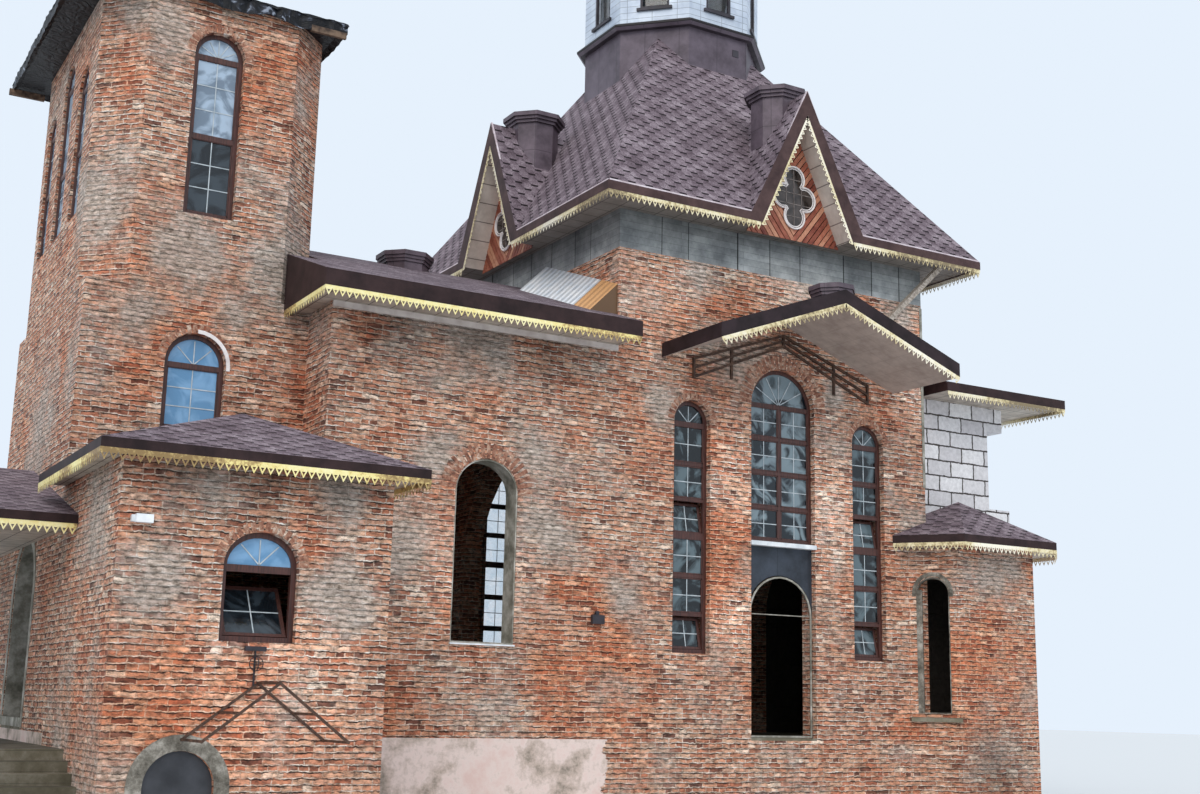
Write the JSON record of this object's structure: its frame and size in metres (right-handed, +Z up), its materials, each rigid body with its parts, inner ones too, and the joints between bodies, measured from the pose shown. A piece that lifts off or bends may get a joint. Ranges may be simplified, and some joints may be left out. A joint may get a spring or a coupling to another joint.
{
  "type": "modern church building",
  "caption": "Brick church with tower, nave, steep-roofed crossing under an octagonal lantern, annex, altar and sacristy, still being built.",
  "frame": {"origin": "centre of the building's footprint box, at ground level", "axes": "+X along the south front from the tower to the altar, +Y into the building from the south front, +Z up"},
  "size_m": [21.5, 11.325, 17.52],
  "materials": {
    "plinth": "painted plaster over concrete",
    "concrete": "board-marked concrete",
    "brick": "fired clay brick in lime-cement mortar",
    "shingle": "bitumen shingles over boards",
    "dark_sheet": "brown coated steel sheet",
    "white_sheet": "white coated steel sheet",
    "aerated_block": "aerated concrete block",
    "frame": "brown window frame with its pane",
    "glass": "clear sheet glass",
    "steel": "dark painted steel",
    "board": "stained boards",
    "timber": "pale sawn timber",
    "membrane": "draped roofing membrane",
    "galvanised": "galvanised corrugated sheet"
  },
  "bodies": {
    "root": {"plinth": "plinth", "ground_floor": "concrete", "tower_floor_lower": "concrete", "tower_floor_upper": "concrete", "ring_beam": "concrete", "porch_steps": "concrete", "nave_front_wall": "brick", "nave_back_wall": "brick", "cube_front_wall_left": "brick", "cube_front_wall_right": "brick", "cube_front_wall_top": "brick", "cube_side_walls": "brick", "tower_west_wall": "brick", "tower_lower_walls": "brick", "tower_upper_walls": "brick", "annex_walls": "brick", "sacristy_walls": "brick", "porch_pier_front": "brick", "porch_pier_back": "brick", "nave_roof": "shingle", "main_roof": "shingle", "annex_roof": "shingle", "porch_roof": "shingle", "altar_roof": "shingle", "sacristy_roof": "shingle", "nave_roof_drum": "dark_sheet", "gablet_drum_1": "dark_sheet", "gablet_drum_2": "dark_sheet", "gablet_drum_3": "dark_sheet", "gablet_drum_4": "dark_sheet", "drum_skirt": "dark_sheet", "drum_roof": "dark_sheet", "front_canopy": "dark_sheet", "canopy_cap": "dark_sheet", "door_panel": "dark_sheet", "drum_walls": "white_sheet", "altar_walls": "aerated_block", "window_left": "frame", "window_right": "frame", "window_centre": "frame", "window_annex": "frame", "window_tower_upper": "frame", "window_tower_lower": "frame", "drum_glazing": "glass", "tower_west_glazing": "glass", "north_glazing": "glass", "gable_lattice": "steel", "basement_cover": "steel", "basement_frame": "steel", "eave_strut": "timber", "gablet_board_1": "board", "gablet_board_2": "board", "gablet_board_3": "board", "gablet_board_4": "board", "tower_roof": "membrane", "roof_hatch": "galvanised"}
  },
  "joints": []
}
